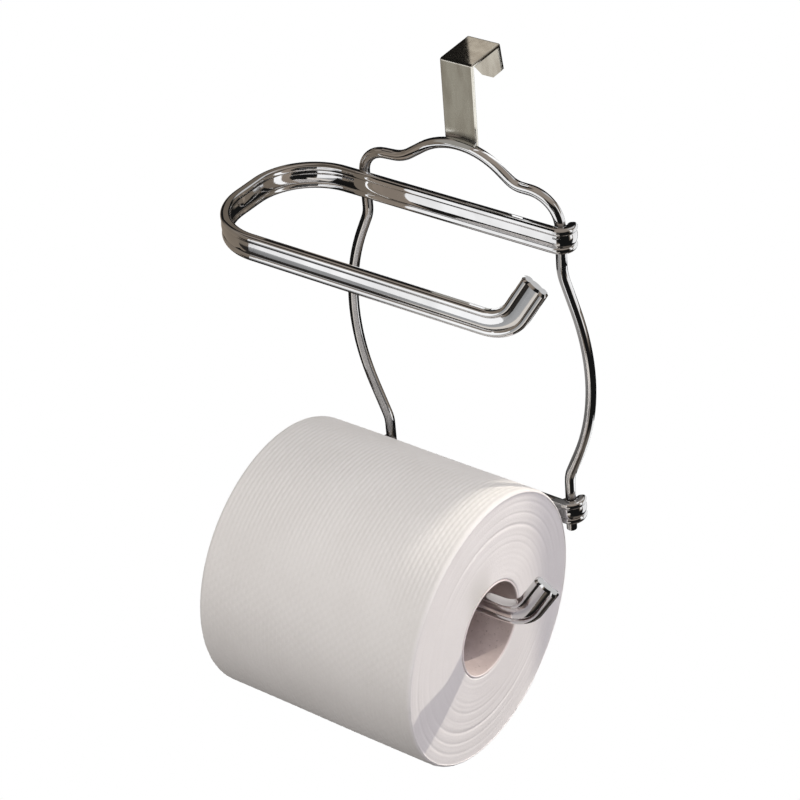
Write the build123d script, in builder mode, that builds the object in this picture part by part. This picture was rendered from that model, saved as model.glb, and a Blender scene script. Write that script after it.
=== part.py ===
# Over-the-tank toilet paper holder.
# A bent round-wire back frame hangs from a flat strap hook. Two J-shaped arms of
# ribbed flat bar are curled round the right leg of the frame, cross in front of the
# left leg and are welded to both. The lower arm carries a paper roll on its core.
# Frame: origin at the middle of the hook's seat (the underside of its top plate),
# +Z up, +X to the user's right, the user stands on the -Y side. Millimetres.
import os
from math import atan2, cos, pi, radians, sin

from build123d import *

os.makedirs("parts", exist_ok=True)

# ---- hook: flat strap folded over the tank's rim --------------------------------
strap_w = 14.9          # strap width
strap_t = 1.8           # strap thickness
hook_gap = 17.1         # clear gap between the strap and the rear lip
fold_in = 0.35          # inside radius of both sharp folds
fold_out = 1.15         # and their outside radius
lip_len = 17.0          # rear lip, from the top plate's upper face to its end
lip_flare = 9.5         # it leans away from the tank, to slip over the rim
lip_clip = 4.8          # clipped corners of the rear lip
strap_drop = 35.6       # front strap, from the seat down to its lower end

# ---- back frame: one round wire ---------------------------------------------------
wire_d = 4.5
wire_y = -hook_gap / 2 - strap_t - wire_d / 2      # wire plane, just in front of the strap
leg_x = 46.3            # straight parts of the right leg
leg_end_z = -211.8      # lower ends of the wire
belly_x, belly_z = 64.9, -132.9          # corner of the wide part of the right side, before rounding
kink_top_z, kink_low_z = -80.5, -182.7   # its upper and lower kinks
# the left side was bent a little wider
left_top_x, left_low_x = 47.4, 46.5      # straight parts of the left leg, above and below
left_belly_x, left_belly_z = 68.3, -128.7
left_kink_top_z, left_kink_low_z = -79.0, -185.8
left_shoulder_z, left_r_shoulder = -48.5, 11.7
left_valley = (-27.4, -46.9)             # foot of the middle arch on that side
left_r_valley = 15.4
shoulder_z = -45.6      # flat right shoulder
valley_x = 26.0         # foot of the middle arch
arch_x, arch_z = 1.3, -26.2              # corner of the arch, before rounding
r_kink_low, r_belly, r_kink_top = 18.0, 107.0, 24.0
left_r_kink_low, left_r_belly, left_r_kink_top = 15.0, 108.0, 16.0
r_shoulder, r_valley, r_arch = 13.4, 9.8, 30.3

# ---- arms: ribbed flat bar ---------------------------------------------------------
bar_h = 11.4            # bar height
bar_t = 4.2             # bar thickness over the beads
bead_r = 1.6            # edge beads
groove_z = 2.67         # height of the two grooves above and below the middle
groove_y = 1.53         # half thickness at the grooves
wrap_gap = 0.30         # room between the bar and the wire before welding
wrap_deg = 125.0        # how far the end curls round the right leg
loop_r = 25.9           # centreline radius of the loop's two corners
loop_w = 63.6           # distance between the back run and the front run
loop_x = -54.3          # the corners start here
rise_x = 53.9           # the tip's upward bend starts here
rise_r = 18.0           # centreline radius of that bend
rise_deg = 60.0
tip_len = 15.9          # straight tip, with its bevel
tip_bevel = 1.0
upper_z = -62.5         # bar centre at the frame, upper arm
lower_z = -199.3        # and lower arm
upper_pitch = 2.6       # upper arm tilts up towards the front
lower_pitch = -2.1      # lower arm tilts down under the roll

# ---- roll ----------------------------------------------------------------------------
core_id = 41.0
core_wall = 1.0
roll_d = 121.2
roll_len = 105.8
roll_x0 = -57.8         # left end of the roll
roll_rim = 2.6          # soft outer edges
core_slack = 0.3        # room between the bar's top and the core above it
core_back = 0.8         # the core hangs on the rear bead of the bar, which is the higher one

wire_r = wire_d / 2
wrap_r = wire_r + wrap_gap + bar_t / 2            # centreline radius of the curl
front_y = -wrap_r - loop_w                        # front run of an arm, from the wire plane


# ---- bar section: two edge beads and a wider crowned middle band on both faces --------
# local x is the thickness, local y the height
bead_x, bead_z = bar_t / 2 - bead_r, bar_h / 2 - bead_r
side_x, side_z = bead_x + bead_r * cos(radians(20)), bead_z + bead_r * sin(radians(20))
with BuildSketch(Plane.XY) as bar_section:
    with BuildLine():
        Line((-bead_x, bar_h / 2), (bead_x, bar_h / 2))
        ThreePointArc((bead_x, bar_h / 2), (side_x, side_z), (groove_y, groove_z))
        ThreePointArc((groove_y, groove_z), (bar_t / 2, 0), (groove_y, -groove_z))
        ThreePointArc((groove_y, -groove_z), (side_x, -side_z), (bead_x, -bar_h / 2))
        Line((bead_x, -bar_h / 2), (-bead_x, -bar_h / 2))
        ThreePointArc((-bead_x, -bar_h / 2), (-side_x, -side_z), (-groove_y, -groove_z))
        ThreePointArc((-groove_y, -groove_z), (-bar_t / 2, 0), (-groove_y, groove_z))
        ThreePointArc((-groove_y, groove_z), (-side_x, side_z), (-bead_x, bar_h / 2))
    make_face()

# ---- back frame ------------------------------------------------------------------------
right = [(valley_x, shoulder_z), (leg_x, shoulder_z), (leg_x, kink_top_z),
         (belly_x, belly_z), (leg_x, kink_low_z), (leg_x, leg_end_z)]
left = [(-left_low_x, leg_end_z), (-left_low_x, left_kink_low_z), (-left_belly_x, left_belly_z),
        (-left_top_x, left_kink_top_z), (-left_top_x, left_shoulder_z), left_valley]
left_radii = [left_r_kink_low, left_r_belly, left_r_kink_top, left_r_shoulder, left_r_valley]
right_radii = [r_valley, r_shoulder, r_kink_top, r_belly, r_kink_low]
with BuildPart() as back_frame:
    with BuildLine(Plane(origin=(0, wire_y, 0), x_dir=(1, 0, 0), z_dir=(0, -1, 0))) as wire_path:
        FilletPolyline(*left, (arch_x, arch_z), *right, radius=left_radii + [r_arch] + right_radii)
    with BuildSketch(Plane(origin=wire_path.line @ 0, x_dir=(1, 0, 0), z_dir=wire_path.line % 0)):
        Circle(wire_r)
    sweep(path=wire_path.line)
    chamfer(back_frame.edges().filter_by(GeomType.CIRCLE).group_by(Axis.Z)[0], 0.4)
back_frame.part.label = "back_frame"
export_step(back_frame.part, "parts/back_frame.step")
wire_len = sum(e.length for e in wire_path.edges())
print("wire length", wire_len, "volume over section times length",
      back_frame.part.volume / (wire_len * pi * wire_r**2))

# ---- hook --------------------------------------------------------------------------------
y_in, y_out = hook_gap / 2, hook_gap / 2 + strap_t
flare_s, flare_c = sin(radians(lip_flare)), cos(radians(lip_flare))
lip_outer = (y_out + lip_len * flare_s, strap_t - lip_len * flare_c)
lip_inner = (lip_outer[0] - strap_t * flare_c, lip_outer[1] - strap_t * flare_s)
lip_heel = lip_inner[0] + lip_inner[1] * flare_s / flare_c       # where the lip's inner face meets the seat
with BuildPart() as tank_hook:
    with BuildSketch(Plane.YZ):
        with BuildLine():
            FilletPolyline((-y_out, -strap_drop), (-y_out, strap_t), (y_out, strap_t), lip_outer, radius=fold_out)
            Line(lip_outer, lip_inner)
            FilletPolyline(lip_inner, (lip_heel, 0), (-y_in, 0), (-y_in, -strap_drop), radius=fold_in)
            Line((-y_in, -strap_drop), (-y_out, -strap_drop))
        make_face()
    extrude(amount=strap_w / 2, both=True)
    lip_corners = tank_hook.edges().filter_by(
        lambda e: e.center().Y > 0 and e.center().Z < strap_t - lip_len + 1 and abs(e.length - strap_t) < 0.01
        and abs(abs(e.center().X) - strap_w / 2) < 0.01)
    chamfer(lip_corners, lip_clip)
    soft = tank_hook.faces().filter_by(Axis.X).edges()
    fillet(soft, 0.6)
tank_hook.part.label = "tank_hook"
export_step(tank_hook.part, "parts/tank_hook.step")

# ---- one arm, with the wire's axis of its curled end standing on the local origin ------
with BuildPart() as arm:
    # end curled round the frame's right leg
    with BuildSketch(Plane(origin=(leg_x, -wrap_r, 0), x_dir=(0, 1, 0), z_dir=(1, 0, 0))):
        add(bar_section.sketch)
    revolve(axis=Axis((leg_x, 0, 0), (0, 0, 1)), revolution_arc=wrap_deg)
    # back run
    with BuildSketch(Plane(origin=(loop_x, -wrap_r, 0), x_dir=(0, 1, 0), z_dir=(1, 0, 0))):
        add(bar_section.sketch)
    extrude(amount=leg_x - loop_x)
    # loop: two round corners with a short straight end between them
    with BuildSketch(Plane(origin=(loop_x, -wrap_r, 0), x_dir=(0, 1, 0), z_dir=(1, 0, 0))):
        add(bar_section.sketch)
    revolve(axis=Axis((loop_x, -wrap_r - loop_r, 0), (0, 0, 1)), revolution_arc=90)
    with BuildSketch(Plane(origin=(loop_x - loop_r, front_y + loop_r, 0), x_dir=(-1, 0, 0), z_dir=(0, 1, 0))):
        add(bar_section.sketch)
    extrude(amount=loop_w - 2 * loop_r)
    with BuildSketch(Plane(origin=(loop_x - loop_r, front_y + loop_r, 0), x_dir=(-1, 0, 0), z_dir=(0, 1, 0))):
        add(bar_section.sketch)
    revolve(axis=Axis((loop_x, front_y + loop_r, 0), (0, 0, 1)), revolution_arc=90)
    # front run, which the roll hangs on
    with BuildSketch(Plane(origin=(loop_x, front_y, 0), x_dir=(0, 1, 0), z_dir=(1, 0, 0))):
        add(bar_section.sketch)
    extrude(amount=rise_x - loop_x)
    # upward bend
    with BuildSketch(Plane(origin=(rise_x, front_y, 0), x_dir=(0, 1, 0), z_dir=(1, 0, 0))):
        add(bar_section.sketch)
    revolve(axis=Axis((rise_x, front_y, rise_r), (0, -1, 0)), revolution_arc=rise_deg)
    # straight tip with a bevelled end
    tip_dir = Vector(cos(radians(rise_deg)), 0, sin(radians(rise_deg)))
    tip_0 = Vector(rise_x + rise_r * sin(radians(rise_deg)), front_y, rise_r * (1 - cos(radians(rise_deg))))
    tip_1 = tip_0 + tip_dir * (tip_len - tip_bevel)
    tip_2 = tip_0 + tip_dir * tip_len
    with BuildSketch(Plane(origin=tip_0, x_dir=(0, 1, 0), z_dir=tip_dir)):
        add(bar_section.sketch)
    extrude(amount=tip_len - tip_bevel)
    with BuildSketch(Plane(origin=tip_1, x_dir=(0, 1, 0), z_dir=tip_dir)) as bevel_foot:
        add(bar_section.sketch)
    with BuildSketch(Plane(origin=tip_2, x_dir=(0, 1, 0), z_dir=tip_dir)) as bevel_head:
        add(bar_section.sketch)
        scale(by=((bar_t - 1.6) / bar_t, (bar_h - 1.8) / bar_h, 1))
    loft(ruled=True)

with BuildPart() as upper_arm:
    with Locations(Location((0, wire_y, upper_z), (-upper_pitch, 0, 0))):
        add(arm.part)
upper_arm.part.label = "upper_arm"
export_step(upper_arm.part, "parts/upper_arm.step")

with BuildPart() as lower_arm:
    with Locations(Location((0, wire_y, lower_z), (-lower_pitch, 0, 0))):
        add(arm.part)
lower_arm.part.label = "lower_arm"
export_step(lower_arm.part, "parts/lower_arm.step")

# ---- welds: small fillets of metal in the crevices between wire, bars and strap -------
weld_h = 7.2            # height of the fillets behind a bar
beside_wire = [(0.4, -wire_r - 0.9), (4.0, -wire_r - 0.9), (3.5, -wire_r - 0.2), (2.35, -0.3), (1.4, -0.3)]
past_curl = [(-0.4, -4.4), (0.25, -4.3), (1.2, -2.9), (2.2, -1.2), (1.2, -1.2), (-0.4, -1.8)]


def arm_weld(x, z, outline, turn, bar):
    """One upright fillet beside a leg, cut to the wire and to the bar it joins."""
    a = radians(turn)
    with BuildPart() as bead:
        with BuildSketch(Plane(origin=(x, wire_y, z - weld_h / 2), x_dir=(cos(a), sin(a), 0), z_dir=(0, 0, 1))):
            with BuildLine():
                Polyline(*outline, close=True)
            make_face()
        extrude(amount=weld_h)
        add(back_frame.part, mode=Mode.SUBTRACT)
        add(bar, mode=Mode.SUBTRACT)
    return bead.part.solids().sort_by(SortBy.VOLUME)[-1]


mirrored = [(-x, y) for x, y in reversed(beside_wire)]
for name, z, left_x, bar in (("upper", upper_z, left_top_x, upper_arm.part),
                             ("lower", lower_z, left_low_x, lower_arm.part)):
    inner = arm_weld(-left_x, z, beside_wire, 0, bar)
    outer = arm_weld(-left_x, z, mirrored, 0, bar)
    with BuildPart() as left_weld:
        add([inner, outer])
    left_weld.part.label = f"{name}_left_weld"
    export_step(left_weld.part, f"parts/{name}_left_weld.step")
    inner = arm_weld(leg_x, z, mirrored, 0, bar)
    outer = arm_weld(leg_x, z, past_curl, wrap_deg, bar)
    with BuildPart() as right_weld:
        add([inner, outer])
    right_weld.part.label = f"{name}_right_weld"
    export_step(right_weld.part, f"parts/{name}_right_weld.step")

# fillet above the arch, where the strap lies against the back of the wire
fall_l = atan2(arch_z - left_valley[1], arch_x - left_valley[0])      # slopes of the arch's two sides
fall_r = atan2(arch_z - shoulder_z, valley_x - arch_x)
lean = (fall_l - fall_r) / 2
reach = r_arch / cos((fall_l + fall_r) / 2)
arch_cx, arch_c = arch_x + reach * sin(lean), arch_z - reach * cos(lean)
arch_top = arch_c + r_arch
rw = wire_r + 0.01
with BuildPart() as hook_weld:
    for turn in (12.4, -12.4):
        with BuildSketch(Plane(origin=(arch_cx, wire_y, arch_top), x_dir=(0, 1, 0), z_dir=(1, 0, 0))):
            with BuildLine():
                Polyline((rw * cos(radians(60)), rw * sin(radians(60))), (wire_r - 0.55, wire_r - 0.05),
                         (wire_r - 0.01, wire_r + 0.25), (wire_r - 0.01, rw * sin(radians(14))),
                         (rw * cos(radians(14)), rw * sin(radians(14))))
                ThreePointArc((rw * cos(radians(14)), rw * sin(radians(14))),
                              (rw * cos(radians(37)), rw * sin(radians(37))),
                              (rw * cos(radians(60)), rw * sin(radians(60))))
            make_face()
        revolve(axis=Axis((arch_cx, 0, arch_c), (0, 1, 0)), revolution_arc=turn)
hook_weld.part.label = "hook_weld"
export_step(hook_weld.part, "parts/hook_weld.step")

# ---- roll ---------------------------------------------------------------------------------
lower_front = Location((0, wire_y, lower_z), (-lower_pitch, 0, 0)) * Location((0, front_y, 0))
roll_y = lower_front.position.Y + core_back
roll_z = lower_front.position.Z + bar_h / 2 + core_slack - core_id / 2
print("roll axis y z", roll_y, roll_z)
roll_plane = Plane(origin=(roll_x0, roll_y, roll_z), x_dir=(0, 1, 0), z_dir=(1, 0, 0))
with BuildPart() as cardboard_core:
    with BuildSketch(roll_plane):
        Circle(core_id / 2 + core_wall)
        Circle(core_id / 2, mode=Mode.SUBTRACT)
    extrude(amount=roll_len)
cardboard_core.part.label = "cardboard_core"
export_step(cardboard_core.part, "parts/cardboard_core.step")

with BuildPart() as paper_roll:
    with BuildSketch(roll_plane):
        Circle(roll_d / 2)
        Circle(core_id / 2 + core_wall, mode=Mode.SUBTRACT)
    extrude(amount=roll_len)
    fillet(paper_roll.edges().filter_by(GeomType.CIRCLE).sort_by(lambda e: -e.radius)[:2], roll_rim)
paper_roll.part.label = "paper_roll"
export_step(paper_roll.part, "parts/paper_roll.step")
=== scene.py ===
import math

import bpy
import numpy as np
from mathutils import Matrix, Vector


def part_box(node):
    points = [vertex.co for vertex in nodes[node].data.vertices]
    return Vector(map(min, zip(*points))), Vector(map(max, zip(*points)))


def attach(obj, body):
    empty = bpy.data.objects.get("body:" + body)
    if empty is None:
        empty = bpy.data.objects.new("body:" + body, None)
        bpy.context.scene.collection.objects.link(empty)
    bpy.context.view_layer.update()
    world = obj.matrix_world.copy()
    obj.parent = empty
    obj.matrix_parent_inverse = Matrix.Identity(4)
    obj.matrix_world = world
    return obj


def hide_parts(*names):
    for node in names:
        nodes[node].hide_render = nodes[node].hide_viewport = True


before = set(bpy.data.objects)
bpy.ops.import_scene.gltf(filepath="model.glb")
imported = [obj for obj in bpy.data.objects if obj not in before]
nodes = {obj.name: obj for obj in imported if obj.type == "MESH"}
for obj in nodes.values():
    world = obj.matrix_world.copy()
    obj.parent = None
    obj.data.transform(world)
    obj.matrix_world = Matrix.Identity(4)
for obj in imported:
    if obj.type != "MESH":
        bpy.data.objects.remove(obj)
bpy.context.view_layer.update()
scene = bpy.context.scene

# ---------------------------------------------------------------------------
# Camera: the photograph's viewpoint, in the row frame
# ---------------------------------------------------------------------------
CAM_AZ, CAM_EL, CAM_ROLL = math.radians(37.284), math.radians(36.308), math.radians(-5.205)
CAM_AT = Vector((0.464634, -0.675331, 0.438224))
FOCAL_PX = 2359.159

back = Vector((math.sin(CAM_AZ) * math.cos(CAM_EL), -math.cos(CAM_AZ) * math.cos(CAM_EL), math.sin(CAM_EL)))
right = (-back).cross(Vector((0, 0, 1))).normalized()
up = right.cross(-back)
cam_x = math.cos(CAM_ROLL) * right + math.sin(CAM_ROLL) * up
cam_y = -math.sin(CAM_ROLL) * right + math.cos(CAM_ROLL) * up
cam_data = bpy.data.cameras.new("camera")
cam_data.sensor_width = 36.0
cam_data.lens = FOCAL_PX / 800.0 * 36.0
cam_data.clip_start, cam_data.clip_end = 0.01, 100.0
cam = bpy.data.objects.new("camera", cam_data)
scene.collection.objects.link(cam)
cam.matrix_world = Matrix((
    (cam_x.x, cam_y.x, back.x, CAM_AT.x),
    (cam_x.y, cam_y.y, back.y, CAM_AT.y),
    (cam_x.z, cam_y.z, back.z, CAM_AT.z),
    (0, 0, 0, 1)))
scene.camera = cam


# ---------------------------------------------------------------------------
# Small helpers
# ---------------------------------------------------------------------------
class Nodes:
    """Short hand for building a node tree."""

    def __init__(self, tree):
        self.tree = tree
        tree.nodes.clear()

    def add(self, kind, **inputs):
        n = self.tree.nodes.new(kind)
        for k, v in inputs.items():
            setattr(n, k, v)
        return n

    def link(self, a, b):
        self.tree.links.new(a, b)

    def put(self, socket, value):
        """A number or colour on the socket itself, or a link from another socket."""
        if isinstance(value, bpy.types.NodeSocket):
            self.link(value, socket)
        else:
            socket.default_value = value

    def math(self, op, a, b=None, c=None):
        n = self.add("ShaderNodeMath", operation=op)
        for i, v in enumerate((a, b, c)):
            if v is not None:
                self.put(n.inputs[i], v)
        return n.outputs[0]

    def ramp(self, value, lo, hi, to_lo=0.0, to_hi=1.0, smooth=True):
        n = self.add("ShaderNodeMapRange", interpolation_type="SMOOTHSTEP" if smooth else "LINEAR")
        self.put(n.inputs["Value"], value)
        n.inputs["From Min"].default_value, n.inputs["From Max"].default_value = lo, hi
        n.inputs["To Min"].default_value, n.inputs["To Max"].default_value = to_lo, to_hi
        return n.outputs["Result"]

    def mix(self, factor, a, b):
        n = self.add("ShaderNodeMix", data_type="RGBA")
        self.put(n.inputs["Factor"], factor)
        self.put(n.inputs["A"], a)
        self.put(n.inputs["B"], b)
        for s, v in (("A", a), ("B", b)):      # the colour sockets share names with the others
            t = [i for i in n.inputs if i.name == s and i.type == "RGBA"][0]
            self.put(t, v)
        return [o for o in n.outputs if o.type == "RGBA"][0]

    def noise(self, vector, scale, detail=2.0, rough=0.5, distortion=0.0):
        n = self.add("ShaderNodeTexNoise")
        self.link(vector, n.inputs["Vector"])
        n.inputs["Scale"].default_value = scale
        n.inputs["Detail"].default_value = detail
        n.inputs["Roughness"].default_value = rough
        n.inputs["Distortion"].default_value = distortion
        return n.outputs["Fac"]

    def stretch(self, vector, sx, sy, sz):
        n = self.add("ShaderNodeVectorMath", operation="MULTIPLY")
        self.link(vector, n.inputs[0])
        n.inputs[1].default_value = (sx, sy, sz)
        return n.outputs[0]

    def bump(self, height, distance, strength, normal=None):
        n = self.add("ShaderNodeBump")
        self.link(height, n.inputs["Height"])
        n.inputs["Distance"].default_value = distance
        n.inputs["Strength"].default_value = strength
        if normal is not None:
            self.link(normal, n.inputs["Normal"])
        return n.outputs["Normal"]


def material(name):
    m = bpy.data.materials.new(name)
    m.use_nodes = True
    n = Nodes(m.node_tree)
    shader = n.add("ShaderNodeBsdfPrincipled")
    n.link(shader.outputs["BSDF"], n.add("ShaderNodeOutputMaterial").inputs["Surface"])
    where = n.add("ShaderNodeTexCoord").outputs["Object"]
    return m, n, shader, where


def mesh_object(name, points, faces, mat, smooth=True):
    me = bpy.data.meshes.new(name)
    me.from_pydata(points, [], faces)
    me.validate()
    me.update()
    if smooth:
        me.polygons.foreach_set("use_smooth", np.ones(len(me.polygons), bool))
    me.materials.append(mat)
    o = bpy.data.objects.new(name, me)
    scene.collection.objects.link(o)
    return o


def grid_object(name, P, mat, wrap_u=True, wrap_v=True, caps=False):
    """A quad mesh over P[u, v] = (x, y, z). caps closes the two open ends of u, when v wraps, with strips of quads."""
    nu, nv = P.shape[:2]
    idx = np.arange(nu * nv).reshape(nu, nv)
    a = idx if wrap_u else idx[:-1]
    b = np.roll(idx, -1, 0) if wrap_u else idx[1:]
    if wrap_v:
        a2, b2 = np.roll(a, -1, 1), np.roll(b, -1, 1)
    else:
        a, b, a2, b2 = a[:, :-1], b[:, :-1], a[:, 1:], b[:, 1:]
    quads = np.stack([a, b, b2, a2], -1).reshape(-1, 4)
    if caps:
        half = nv // 2
        for row, turn in ((idx[0], 1), (idx[-1], -1)):
            one, two = row[:half], row[::-1][:half]
            strip = np.stack([one[:-1], one[1:], two[1:], two[:-1]], -1)
            quads = np.concatenate([quads, strip[:, ::turn]])
    me = bpy.data.meshes.new(name)
    me.vertices.add(nu * nv)
    me.vertices.foreach_set("co", np.ascontiguousarray(P, np.float32).ravel())
    n = len(quads)
    me.loops.add(n * 4)
    me.loops.foreach_set("vertex_index", quads.astype(np.int32).ravel())
    me.polygons.add(n)
    me.polygons.foreach_set("loop_start", np.arange(0, n * 4, 4, dtype=np.int32))
    me.polygons.foreach_set("use_smooth", np.ones(n, bool))
    me.update()
    me.validate()
    me.materials.append(mat)
    o = bpy.data.objects.new(name, me)
    scene.collection.objects.link(o)
    return o


# ---------------------------------------------------------------------------
# Materials
# ---------------------------------------------------------------------------
def make_chrome(name, colour_a, colour_b, rough_lo, rough_hi, wave, dirt=0.0):
    """Bright plating: a mirror with faint clouds, rolled-in waves along the stock and fine rub marks."""
    m, n, s, at = material(name)
    cloud = n.noise(at, 55.0, 3.0, 0.6)
    fine = n.noise(at, 900.0, 2.0, 0.6)
    n.link(n.mix(n.ramp(cloud, 0.35, 0.68), (*colour_a, 1), (*colour_b, 1)), s.inputs["Base Color"])
    s.inputs["Metallic"].default_value = 1.0
    haze = n.math("MULTIPLY_ADD", fine, 0.35, n.math("MULTIPLY", cloud, 0.65))
    n.link(n.ramp(haze, 0.35, 0.7, rough_lo, rough_hi), s.inputs["Roughness"])
    rolled = n.noise(at, 38.0, 1.0, 0.4)
    skin = n.bump(rolled, 0.002, wave)
    n.link(n.bump(fine, 0.00005, 0.12 + dirt, skin), s.inputs["Normal"])
    return m


chrome = make_chrome("chrome", (0.66, 0.66, 0.665), (0.57, 0.57, 0.575), 0.035, 0.085, 0.05)
weld_metal = make_chrome("weld_chrome", (0.50, 0.49, 0.48), (0.36, 0.35, 0.34), 0.10, 0.22, 0.18, 0.15)


def make_nickel():
    """Folded strap: satin plating with drawn lines along the strap and a few soft smears."""
    m, n, s, at = material("nickel")
    lines = n.noise(n.stretch(at, 1.0, 1.0, 0.035), 900.0, 3.0, 0.6)
    smear = n.noise(n.stretch(at, 1.0, 1.0, 0.22), 190.0, 3.0, 0.55)
    worn = n.mix(n.ramp(smear, 0.36, 0.70), (0.60, 0.585, 0.53, 1), (0.46, 0.435, 0.385, 1))
    n.link(worn, s.inputs["Base Color"])
    s.inputs["Metallic"].default_value = 1.0
    n.link(n.ramp(lines, 0.30, 0.72, 0.16, 0.30), s.inputs["Roughness"])
    n.link(n.bump(lines, 0.00006, 0.25), s.inputs["Normal"])
    return m


nickel = make_nickel()


def make_paper(name, colour_a, colour_b, edges):
    """Soft tissue: uneven warm white with fibre fuzz; edges adds the fine cut edges of the layers on the ends."""
    m, n, s, at = material(name)
    patch = n.noise(at, 28.0, 3.0, 0.55)
    fibre = n.noise(at, 1500.0, 3.0, 0.65)
    tone = n.math("MULTIPLY_ADD", fibre, 0.35, n.math("MULTIPLY", patch, 0.65))
    n.link(n.mix(n.ramp(tone, 0.36, 0.66), (*colour_a, 1), (*colour_b, 1)), s.inputs["Base Color"])
    s.inputs["Roughness"].default_value = 0.92
    s.inputs["Specular IOR Level"].default_value = 0.18
    s.inputs["Sheen Weight"].default_value = 0.12
    s.inputs["Sheen Roughness"].default_value = 0.5
    n.link(n.bump(fibre, 0.0002, edges), s.inputs["Normal"])
    return m


paper = make_paper("paper", (0.83, 0.815, 0.80), (0.875, 0.862, 0.85), 0.22)
paper_ends = make_paper("paper_ends", (0.84, 0.825, 0.815), (0.885, 0.872, 0.862), 0.30)


def make_card():
    """Grey-brown recycled board with flecks, cloudy tone and pale fuzzy cut ends."""
    m, n, s, at = material("cardboard")
    fleck = n.noise(at, 700.0, 4.0, 0.7)
    cloud = n.noise(at, 90.0, 3.0, 0.6)
    base = n.mix(n.ramp(cloud, 0.34, 0.68), (0.62, 0.53, 0.515, 1), (0.73, 0.635, 0.62, 1))
    board = n.mix(n.ramp(fleck, 0.58, 0.74), base, (0.38, 0.315, 0.30, 1))
    along = n.add("ShaderNodeSeparateXYZ")
    n.link(at, along.inputs[0])
    from_mid = n.math("ABSOLUTE", n.math("SUBTRACT", along.outputs["X"], CORE_MID))
    cut = n.ramp(n.math("MULTIPLY_ADD", fleck, 0.0006, from_mid), CORE_HALF - 0.0004, CORE_HALF + 0.0001)
    n.link(n.mix(cut, board, (0.86, 0.80, 0.785, 1)), s.inputs["Base Color"])      # pale fuzzy cut ends
    s.inputs["Roughness"].default_value = 0.88
    s.inputs["Specular IOR Level"].default_value = 0.25
    n.link(n.bump(fleck, 0.0002, 0.3), s.inputs["Normal"])
    return m


core_lo, core_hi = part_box("cardboard_core")
CORE_MID, CORE_HALF = (core_lo.x + core_hi.x) / 2, (core_hi.x - core_lo.x) / 2 - 0.0003
card = make_card()

for name, o in nodes.items():
    if name == "tank_hook":
        o.data.materials[0] = nickel
    elif name.endswith("_weld"):
        o.data.materials[0] = weld_metal
    elif name in ("back_frame", "upper_arm", "lower_arm"):
        o.data.materials[0] = chrome

# ---------------------------------------------------------------------------
# Paper roll, in millimetres about its own axis, then placed on the CAD roll
# ---------------------------------------------------------------------------
roll_lo, roll_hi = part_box("paper_roll")
AX_Y, AX_Z = (roll_lo.y + roll_hi.y) / 2 * 1000, (roll_lo.z + roll_hi.z) / 2 * 1000
X0, X1 = roll_lo.x * 1000, roll_hi.x * 1000
R_OUT = (roll_hi.z - roll_lo.z) / 2 * 1000
R_CORE = (core_hi.z - core_lo.z) / 2 * 1000
R_BORE = R_CORE + 0.06

RIB_PITCH, DOT_PITCH, RIB_DEEP = 2.0, 2.1, 0.13      # embossing of the sheet
RIM_X, RIM_R = 1.8, 1.4                              # soft outer edges
SHEET, PLY = 0.28, 0.46                              # thickness, and how far one turn lifts the next


def place(x, r, phi):
    """Roll coordinates to the row frame, in metres. phi 0 is the back, 90 degrees the top."""
    return np.stack([x, AX_Y + r * np.cos(phi), AX_Z + r * np.sin(phi)], -1) / 1000.0


def bumps(x, turn, seed, n=7):
    """A smooth, seeded wobble over length x (mm) and angle, about -1 to 1."""
    g = np.random.default_rng(seed)
    out = np.zeros(np.broadcast(x, turn).shape)
    for _ in range(n):
        out = out + g.uniform(0.4, 1.0) * np.sin(
            g.uniform(-0.12, 0.12) * x + g.integers(1, 6) * turn + g.uniform(0, 6.28))
    return out / n


TAIL, OVERLAP = math.radians(300.0), math.radians(16.0)     # the free edge lies low at the back
START = TAIL - 2 * math.pi - OVERLAP


def rim_curve(steps, last, depth):
    """The soft edge, from the straight part (0) to the end face: distance in from the end, and radius lost."""
    t = np.radians(np.linspace(0, last, steps))
    nx, nr = np.sin(t) / RIM_X, np.cos(t) / RIM_R
    size = np.hypot(nx, nr)
    return RIM_X * (1 - np.sin(t)) + depth * nx / size, RIM_R * (1 - np.cos(t)) + depth * nr / size


def spiral(turn):
    """Extra radius of the spiral at this angle, 0 at the start of the last sheet."""
    return PLY * (turn - START) / (2 * math.pi)


def nibble(inset, turn):
    """Small pinches where the layers are pressed at the ends, fading out along the roll."""
    g = np.random.default_rng(17)
    out = 0.0 * turn
    for k in (31, 47, 71, 97, 139):
        out = out + g.uniform(0.5, 1.0) * np.sin(k * turn + g.uniform(0, 6.28))
    return 0.045 * out * np.exp(-((inset / 2.6) ** 2)) * (0.45 + 0.55 * np.cos(turn - math.radians(255.0)))


# the last sheet: one turn and a little more, pressed over the rims of the wound body
turns = np.linspace(START, TAIL, 760)
straight = np.arange(X0 + RIM_X + 0.4, X1 - RIM_X - 0.2, 0.4)


def sheet_line(depth):
    inset, lost = rim_curve(12, 82, depth)
    x = np.concatenate([X0 + inset[::-1], straight, X1 - inset])
    return x[None, :], np.concatenate([lost[::-1], depth + 0 * straight, lost])[None, :]


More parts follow.
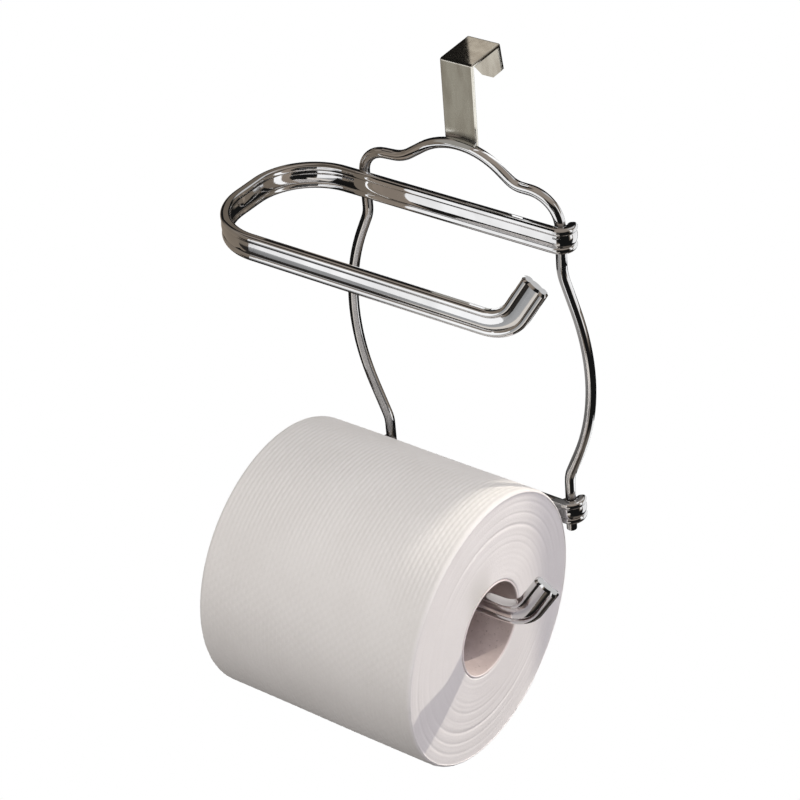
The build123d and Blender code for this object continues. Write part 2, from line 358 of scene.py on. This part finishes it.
R_TOP = R_OUT - PLY * (1 + OVERLAP / (2 * math.pi)) + 0.12
ang = turns[:, None]
ox, lost = sheet_line(0.0)
inset = np.minimum(ox - X0, X1 - ox)
rib = np.cos(2 * math.pi * ox / RIB_PITCH)
dots = np.cos(math.pi * ox / RIB_PITCH) * np.cos(math.pi * R_OUT * ang / DOT_PITCH)
fade = np.clip((inset - 0.6) / 2.5, 0, 1)
press = RIB_DEEP * fade * (0.62 * rib + 0.38 * dots) * (1 + 0.25 * bumps(ox, ang, 3))
soft = 0.22 * bumps(ox, ang, 5) + nibble(inset, ang)
r_top = R_TOP - lost + spiral(ang) + press + soft
ux, ulost = sheet_line(SHEET)
r_under = R_TOP - ulost + spiral(ang) + soft
sheet_pts = np.concatenate([
    place(ox + 0 * ang, r_top, ang + 0 * ox),
    place(ux + 0 * ang, r_under, ang + 0 * ox)[:, ::-1]], 1)
last_sheet = grid_object("paper_last_sheet", sheet_pts[:, ::-1], paper, wrap_u=False, wrap_v=True, caps=True)


# the wound body: ends with the edges of the layers, some of them standing out or sunk
def end_face(r, turn, seed, grooves, wave):
    """How far the end stands out from its plane, in mm, over radius and angle."""
    h = 0.0 * r * turn
    for at, wide, deep in grooves:
        wander = 0.45 * np.sin(turn + seed * at) + 0.2 * np.sin(2 * turn + at)
        h = h - deep * np.exp(-((r - at - wander) / wide) ** 2) * (1 + 0.4 * np.sin(turn * 2 + at * 3))
    g = np.random.default_rng(seed)
    for _ in range(6):
        k = g.uniform(1.2, 3.2)
        h = h + wave * np.sin(k * r + g.uniform(-0.8, 0.8) * np.sin(turn + g.uniform(0, 6.28)) + g.uniform(0, 6.28))
    return h + 0.15 * np.sin(turn + seed) * (r - R_BORE) / (R_OUT - R_BORE)


UNDER = SHEET + 0.03
phi = START + np.linspace(0, 2 * math.pi, 480, endpoint=False)[:, None]
r_in_end = R_TOP - RIM_R
radii = np.concatenate([[R_BORE], np.linspace(R_BORE + 0.3, r_in_end - 0.15, 118)])
rr = radii[None, :] + spiral(phi) * np.clip((radii[None, :] - 40.0) / 18.0, 0, 1)
bore_round = np.clip((R_BORE + 0.8 - rr) / 0.8, 0, 1) ** 2 * 0.45
rim_fade = np.clip((r_in_end - rr) / 1.2, 0, 1)
right_x = X1 - UNDER - bore_round + rim_fade * end_face(rr, phi, 11, (
    (45.6, 0.7, 0.16), (50.2, 0.5, 0.07), (55.0, 0.6, 0.08), (37.2, 0.5, 0.05), (41.0, 0.45, 0.06)), 0.006)
left_x = X0 + UNDER + bore_round - rim_fade * end_face(rr, phi, 23, (
    (53.0, 0.6, 0.22), (47.1, 0.5, 0.12), (39.4, 0.5, 0.14), (33.0, 0.5, 0.06)), 0.006)
rim_in, rim_lost = rim_curve(9, 90, UNDER)
rim_in, rim_lost = rim_in[None, ::-1], rim_lost[None, ::-1]          # from the end face to the straight part
middle = np.linspace(X1 - RIM_X - 6, X0 + RIM_X + 6, 10)[None, :]
out_x = np.concatenate([X1 - rim_in, middle, (X0 + rim_in)[:, ::-1]], 1) + 0 * phi
out_lost = np.concatenate([rim_lost, UNDER + 0 * middle, rim_lost[:, ::-1]], 1)
out_inset = np.minimum(out_x - X0, X1 - out_x)
out_r = R_TOP - out_lost + spiral(phi) + 0.22 * bumps(out_x, phi + 0 * out_x, 5) + nibble(out_inset, phi)
share = np.linspace(0, 1, 12)[1:-1][None, :]
bore_x = left_x[:, :1] + (right_x[:, :1] - left_x[:, :1]) * share
body_x = np.concatenate([right_x, out_x, left_x[:, ::-1], bore_x], 1)
body_r = np.concatenate([rr, out_r, rr[:, ::-1], R_BORE + 0 * bore_x], 1)
body_pts = place(body_x, body_r, phi + 0 * body_x)
wound_body = grid_object("paper_wound_body", body_pts[:, ::-1], paper_ends)

# cardboard tube, wound from a strip, so that its seam runs round as a helix
CORE_WALL = 1.0
cphi = np.linspace(0, 2 * math.pi, 256, endpoint=False)[:, None]
cx = np.concatenate([[X0 + 0.3, X0 + 0.5], np.linspace(X0 + 0.9, X1 - 0.9, 116), [X1 - 0.5, X1 - 0.3]])[None, :]
lead = 74.0
seam = (cx / lead - cphi / (2 * math.pi) + 0.35) % 1.0
seam_mm = (seam - 0.5) * lead
step = 0.10 * np.tanh(seam_mm / 0.35) * np.exp(-np.abs(seam_mm) / 9.0) - 0.22 * np.exp(-(seam_mm / 0.55) ** 2)
edge = np.clip((np.minimum(cx - X0 - 0.3, X1 - 0.3 - cx)) / 0.5, 0, 1)
r_in = R_CORE - CORE_WALL - step * edge + 0.25 * (1 - edge) + 0.06 * bumps(cx, cphi, 9)
r_ex = R_CORE - 0.02 - 0.25 * (1 - edge) + 0 * cphi
core_pts = np.concatenate([place(cx + 0 * cphi, r_in, cphi + 0 * cx),
                           place(cx + 0 * cphi, r_ex, cphi + 0 * cx)[:, ::-1]], 1)
core_tube = grid_object("cardboard_tube", core_pts, card)

for piece, slot in ((last_sheet, "paper"), (wound_body, "paper"), (core_tube, "cardboard")):
    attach(piece, "roll")
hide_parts("paper_roll")
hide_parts("paper_roll")
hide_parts("cardboard_core")

# ---------------------------------------------------------------------------
# Stage: pale floor, surroundings and lamps
# ---------------------------------------------------------------------------
floor_mat, n, s, at = material("floor")
n.tree.nodes.remove(s)
glow = n.add("ShaderNodeEmission")
glow.inputs["Color"].default_value = (1.0, 1.0, 1.0, 1)
glow.inputs["Strength"].default_value = 1.0
n.link(glow.outputs[0], [x for x in n.tree.nodes if x.type == "OUTPUT_MATERIAL"][0].inputs["Surface"])
half = 40.0
floor = mesh_object("floor", [(-half, -half, -0.6), (half, -half, -0.6), (half, half, -0.6), (-half, half, -0.6)],
                    [(0, 1, 2, 3)], floor_mat, smooth=False)
floor.visible_diffuse = floor.visible_glossy = floor.visible_shadow = floor.visible_transmission = False

world = bpy.data.worlds.new("studio")
scene.world = world
world.use_nodes = True
world.cycles.sampling_method = "NONE"
w = Nodes(world.node_tree)
way = w.add("ShaderNodeTexCoord").outputs["Generated"]
xyz = w.add("ShaderNodeSeparateXYZ")
w.link(way, xyz.inputs[0])
DEG = 180.0 / math.pi
azim = w.math("MULTIPLY", w.math("ARCTAN2", xyz.outputs["X"], w.math("MULTIPLY", xyz.outputs["Y"], -1.0)), DEG)
elev = w.math("MULTIPLY", w.math("ARCSINE", xyz.outputs["Z"]), DEG)


def panel(under, az, el, half_az, half_el, soft, colour):
    """A soft-edged panel of light or dark in the surroundings, over what is already there."""
    da = w.math("ABSOLUTE", w.math("SUBTRACT", azim, az))
    da = w.math("MINIMUM", da, w.math("SUBTRACT", 360.0, da))
    de = w.math("ABSOLUTE", w.math("SUBTRACT", elev, el))
    cover = w.math("MULTIPLY", w.ramp(da, half_az + soft, half_az - soft), w.ramp(de, half_el + soft, half_el - soft))
    return w.mix(cover, under, (*colour, 1))


# what the bright metal mirrors: azimuth 0 is the front, 90 the right
sky = w.mix(w.ramp(elev, 15.0, 60.0), (0.28, 0.235, 0.19, 1), (0.42, 0.36, 0.31, 1))
sky = w.mix(w.ramp(elev, -35.0, -75.0), sky, (0.15, 0.13, 0.115, 1))
sky = panel(sky, -62.0, -35.5, 34.0, 22.5, 5.0, (0.035, 0.031, 0.028))     # dark floor, left
sky = panel(sky, -10.0, -70.0, 60.0, 13.0, 4.0, (0.015, 0.014, 0.013))     # dark floor, below
sky = panel(sky, -60.0, 57.0, 24.0, 13.0, 6.0, (0.03, 0.027, 0.025))        # dark ceiling, left
sky = panel(sky, -146.0, -12.0, 52.0, 58.0, 8.0, (0.012, 0.012, 0.012))   # dark wall behind
sky = panel(sky, 113.0, -37.0, 92.0, 18.0, 4.0, (0.012, 0.012, 0.012))    # dark floor, right
sky = panel(sky, 48.0, 4.0, 42.0, 28.0, 4.0, (0.012, 0.012, 0.012))       # dark room behind the camera
sky = panel(sky, 106.0, 12.0, 8.0, 26.0, 3.0, (1.4, 1.4, 1.4))            # narrow window, right
sky = panel(sky, 157.0, 46.0, 16.0, 18.0, 5.0, (0.8, 0.8, 0.8))           # high window, right and behind
mirrored = w.add("ShaderNodeBackground")
w.link(sky, mirrored.inputs["Color"])
ambient = w.add("ShaderNodeBackground")
w.link(w.mix(w.ramp(elev, -40.0, 60.0), (0.05, 0.047, 0.045, 1), (0.17, 0.165, 0.16, 1)), ambient.inputs["Color"])
plain = w.add("ShaderNodeBackground")
plain.inputs["Color"].default_value = (1, 1, 1, 1)
path = w.add("ShaderNodeLightPath")
soft_or_mirror = w.add("ShaderNodeMixShader")
w.link(path.outputs["Is Glossy Ray"], soft_or_mirror.inputs["Fac"])
w.link(ambient.outputs[0], soft_or_mirror.inputs[1])
w.link(mirrored.outputs[0], soft_or_mirror.inputs[2])
pick = w.add("ShaderNodeMixShader")
w.link(path.outputs["Is Camera Ray"], pick.inputs["Fac"])
w.link(soft_or_mirror.outputs[0], pick.inputs[1])
w.link(plain.outputs[0], pick.inputs[2])
w.link(pick.outputs[0], w.add("ShaderNodeOutputWorld").inputs["Surface"])


def glow_card(name, corners, colour, strength, across=None):
    """A flat card that only shows in the metal. strength is a number, or a list of (height, strength) in metres;
    across is a list of (x, factor)."""
    m = bpy.data.materials.new(name)
    m.use_nodes = True
    n = Nodes(m.node_tree)
    e = n.add("ShaderNodeEmission")
    e.inputs["Color"].default_value = (*colour, 1)
    if isinstance(strength, (int, float)):
        e.inputs["Strength"].default_value = strength
    else:
        z = n.add("ShaderNodeSeparateXYZ")
        n.link(n.add("ShaderNodeTexCoord").outputs["Object"], z.inputs[0])


        def profile(value, steps):
            total = None
            for (z0, s0), (z1, s1) in zip(steps, steps[1:]):
                part = n.ramp(value, z0, z1, 0.0, s1 - s0)
                total = n.math("ADD", steps[0][1] if total is None else total, part)
            return total

        level = profile(z.outputs["Z"], strength)
        if across:
            level = n.math("MULTIPLY", level, profile(z.outputs["X"], across))
        n.link(level, e.inputs["Strength"])
    n.link(e.outputs[0], n.add("ShaderNodeOutputMaterial").inputs["Surface"])
    o = mesh_object(name, corners, [tuple(range(len(corners)))], m, smooth=False)
    o.visible_camera = o.visible_diffuse = o.visible_shadow = o.visible_transmission = False
    return o


def upright(a, b, z0, z1):
    return [(*a, z0), (*b, z0), (*b, z1), (*a, z1)]


# white board close by at the front left, a grey one under it, and a warm low one for the legs
def board(name, outline, *look):
    """A board on the slanted plane in front, from its outline in x and z."""
    return glow_card(name, [(x, -0.37 - 0.275 * (x + 0.29), z) for x, z in outline], *look)


board("board_white", [(-0.275, 0.12), (-0.262, 0.05), (-0.256, -0.03), (-0.259, -0.112), (-0.245, -0.132),
                      (-0.165, -0.225), (-0.05, -0.30), (0.066, -0.34), (0.066, 0.12)], (1.0, 1.0, 1.0), 1.4)
board("board_grey", [(-0.259, -0.112), (-0.2755, -0.21), (-0.312, -0.33), (-0.325, -0.385), (0.066, -0.385), (0.066, -0.34),
                     (-0.05, -0.30), (-0.165, -0.225), (-0.245, -0.132)], (0.98, 0.99, 1.0),
      [(-0.385, 0.50), (-0.33, 0.46), (-0.22, 0.44), (-0.12, 0.60)], [(-0.31, 0.75), (-0.22, 1.0), (-0.12, 1.15)])
board("board_low", [(-0.26, -0.385), (-0.26, -0.60), (0.28, -0.60), (0.28, -0.385)], (1.0, 0.94, 0.87),
      [(-0.60, 0.75), (-0.53, 0.95), (-0.42, 1.0), (-0.385, 0.70)])

# cards inside the upper loop, for its back run and its far corner
weld_lo, weld_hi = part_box("upper_left_weld")
RUN_Y, RUN_Z = weld_lo.y - 0.0037, (weld_lo.z + weld_hi.z) / 2       # front of the back run, and its middle


def loop_card(name, outline, colour, strength):
    return glow_card(name, [(x, RUN_Y - 0.016, RUN_Z + z) for x, z in outline], colour, strength)


loop_card("card_run_brown", [(-0.0585, -0.036), (-0.0320, -0.036), (-0.0335, 0.024), (-0.0585, 0.024)], (1.0, 0.83, 0.68), 0.36)
loop_card("card_run_white", [(-0.0325, -0.0128), (0.0045, -0.0128), (0.0246, -0.0112), (0.041, -0.0112), (0.041, 0.017),
                             (-0.0335, 0.017)], (1.0, 1.0, 1.0), 1.35)
loop_card("card_run_black", [(-0.0320, -0.0325), (-0.0187, -0.0290), (0.0045, -0.0182), (0.041, -0.0162), (0.041, -0.0112),
                             (0.0246, -0.0112), (0.0045, -0.0128), (-0.0325, -0.0128)], (1.0, 0.95, 0.9), 0.012)
BROWN = (1.0, 0.83, 0.66)
glow_card("card_corner", upright((-0.050, -0.0350), (-0.050, -0.0310), RUN_Z - 0.030, RUN_Z + 0.012), (1.0, 1.0, 1.0), 1.5)
glow_card("card_corner_back", upright((-0.049, -0.0350), (-0.049, -0.0310), RUN_Z - 0.030, RUN_Z + 0.012), BROWN, 0.30)
glow_card("card_corner_brown", upright((-0.050, -0.0310), (-0.050, -0.0217), RUN_Z - 0.0375, RUN_Z + 0.030), BROWN, 0.24)


def lid_card(name, x0, x1, y0, y1, z, strength):
    return glow_card(name, [(x0, y0, z), (x1, y0, z), (x1, y1, z), (x0, y1, z)], BROWN, strength)


lid_card("card_loop_lid", -0.068, -0.055, -0.032, -0.016, RUN_Z + 0.0175, 0.12)
lid_card("card_loop_top", -0.125, -0.080, -0.055, 0.020, RUN_Z + 0.0365, 0.20)

glow_card("card_loop_end", [(-0.125, 0.01, RUN_Z - 0.075), (-0.125, -0.13, RUN_Z - 0.075), (-0.125, -0.13, RUN_Z),
                            (-0.125, 0.01, RUN_Z)], (1.0, 0.83, 0.66), 0.30)


# dark cards: beside the two legs of the wire, and over the back run for the arch
glow_card("card_leg_left", upright((-0.088, -0.095), (-0.088, 0.022), -0.185, -0.085), (1.0, 0.95, 0.9), 0.012)
glow_card("card_leg_right", upright((0.036, -0.062), (0.036, 0.022), -0.185, -0.085), (1.0, 0.96, 0.93),
          [(-0.185, 0.14), (-0.16, 0.20), (-0.13, 0.36), (-0.09, 0.46)])
glow_card("card_arch", [(-0.045, -0.0295, RUN_Z + 0.0125), (0.045, -0.0295, RUN_Z + 0.0125), (0.045, -0.0205, RUN_Z + 0.0125),
                        (-0.045, -0.0205, RUN_Z + 0.0125)], (1.0, 0.95, 0.9), 0.012)

# small cards around the hook: a dark one and a pale one over its top plate, and one each for strap, edge, side and lip
hook_lo, hook_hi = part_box("tank_hook")
TO_CAM = Vector((0.487, -0.643, 0.592))


def seen_from(point, normal, far):
    """The place that a mirror at point, facing along normal, shows to the camera, at that distance."""
    normal = Vector(normal).normalized()
    away = 2 * TO_CAM.dot(normal) * normal - TO_CAM
    return Vector(point) + far * away


half_w, top_z = hook_hi.x, hook_hi.z
front_y = hook_lo.y
plate_back = -front_y
corner_bl = seen_from((-half_w, plate_back, top_z), (0, 0, 1), 0.0085)
corner_fr = seen_from((half_w, front_y, top_z), (0, 0, 1), 0.0085)
run = (corner_fr - corner_bl).normalized()
aside = Vector((run.y, -run.x, 0))
flag = [corner_bl - run * 0.01, corner_fr + run * 0.01, corner_fr + run * 0.01 + aside * 0.025,
        corner_bl - run * 0.01 + aside * 0.025]
glow_card("flag_hook", [tuple(v) for v in flag], (1.0, 0.95, 0.9), 0.012)
mid = seen_from((0, 0, top_z), (0, 0, 1), 0.0100)
glow_card("card_plate", [(mid.x + a * 0.0115, mid.y + b * 0.0145, mid.z) for a, b in ((-1, -1), (1, -1), (1, 1), (-1, 1))],
          (1.0, 0.91, 0.81), 0.76)
glow_card("card_strap", upright((half_w - 0.0010, front_y - 0.0052), (-half_w - 0.0055, front_y - 0.0052), -0.0335, 0.0),
          (1.0, 0.955, 0.86), 0.44)
glow_card("card_edge", upright((half_w, front_y - 0.0082), (half_w + 0.0077, front_y + 0.0025), -0.029, 0.003), (1.0, 1.0, 1.0), 1.5)
mid = seen_from((half_w, front_y, 0), (1, 0, 0), 0.020)
glow_card("card_side", upright((mid.x - 0.0048, mid.y + 0.0036), (mid.x + 0.0048, mid.y - 0.0036),
                               mid.z - 0.040, mid.z + 0.006), (1.0, 1.0, 1.0), 1.6)
mid = seen_from((0, plate_back, -0.007), (0, -0.986, -0.165), 0.013)
glow_card("card_lip", upright((mid.x - 0.010, mid.y + 0.0045), (mid.x + 0.010, mid.y - 0.0045), mid.z - 0.011, mid.z + 0.011),
          (1.0, 0.955, 0.90), 0.85)

# pale cards beside the curled ends of the arms
for name in ("upper", "lower"):
    lo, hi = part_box(name + "_right_weld")
    level = (lo.z + hi.z) / 2
    glow_card("card_curl_" + name, upright((0.0916, 0.0087), (0.048, 0.0375), level - 0.040, level + 0.0125),
              (1.0, 1.0, 1.0), 1.3)


def softbox(name, at, aim_at, size, power, colour):
    """A large lamp for the paper; it doesn't show in the metal."""
    d = bpy.data.lights.new(name, "AREA")
    d.shape, d.size, d.energy, d.color = "SQUARE", size, power, colour
    o = bpy.data.objects.new(name, d)
    scene.collection.objects.link(o)
    o.location = at
    o.rotation_mode = "QUATERNION"
    o.rotation_quaternion = (Vector(aim_at) - Vector(at)).to_track_quat("-Z", "Y")
    o.visible_glossy = o.visible_camera = False
    return o


ROLL_AT = (-0.005, -0.08, -0.216)
softbox("top_box", (0.38, -0.32, 0.85), ROLL_AT, 0.7, 5.95, (1.0, 0.97, 0.94))
softbox("front_box", (-0.30, -1.10, -0.08), ROLL_AT, 0.6, 4.35, (1.0, 0.952, 0.93))
softbox("back_box", (0.1, 0.75, 0.65), ROLL_AT, 0.6, 2.0, (1.0, 0.97, 0.94))
softbox("right_box", (0.80, 0.05, 0.0), (0.048, -0.08, -0.216), 0.45, 2.75, (0.97, 0.91, 1.0))
softbox("low_back_box", (-0.72, 0.50, -0.33), ROLL_AT, 0.6, 2.0, (1.0, 0.97, 0.94))

# key lamp, high at the right and behind; the left side of its cone just passes the roll's right end
KEY_HALF = math.radians(14.0)


def key_lamp(name, energy, comes_from, edge, along, receivers):
    """One share of the key, for the pieces in its list of receivers; its cone ends at a line through edge."""
    comes_from = Vector(comes_from).normalized()
    side = (-comes_from).cross(Vector(along)).normalized()      # square to the beam, into the lit side
    if side.x < 0:
        side = -side
    d = bpy.data.lights.new(name, "SPOT")
    d.energy, d.color = energy, (1.0, 0.93, 0.80)
    d.spot_size, d.spot_blend, d.shadow_soft_size = 2 * KEY_HALF, 0.008, 0.004
    o = bpy.data.objects.new(name, d)
    scene.collection.objects.link(o)
    o.location = Vector(edge) + comes_from * 1.7
    o.rotation_mode = "QUATERNION"
    o.rotation_quaternion = (math.cos(KEY_HALF) * -comes_from + math.sin(KEY_HALF) * side).to_track_quat("-Z", "Y")
    lit = bpy.data.collections.new(name + "_lights")
    for piece in receivers:
        lit.objects.link(piece)
    o.light_linking.receiver_collection = lit
    return o


own = (last_sheet, core_tube)
key_lamp("key", 76.0, (1.1, 2.15, 1.87), (0.048, -0.0405, -0.20), (0, 0, 1),
         [o for o in scene.objects if o.type == "MESH" and o not in own])
key_lamp("key_on_sheet", 55.0, (1.0, 2.15, 1.6), (0.036, -0.0643, -0.1578), (-0.0035, -0.0262, 0.0012), own)

scene.view_settings.view_transform = "Standard"
scene.view_settings.look = "None"
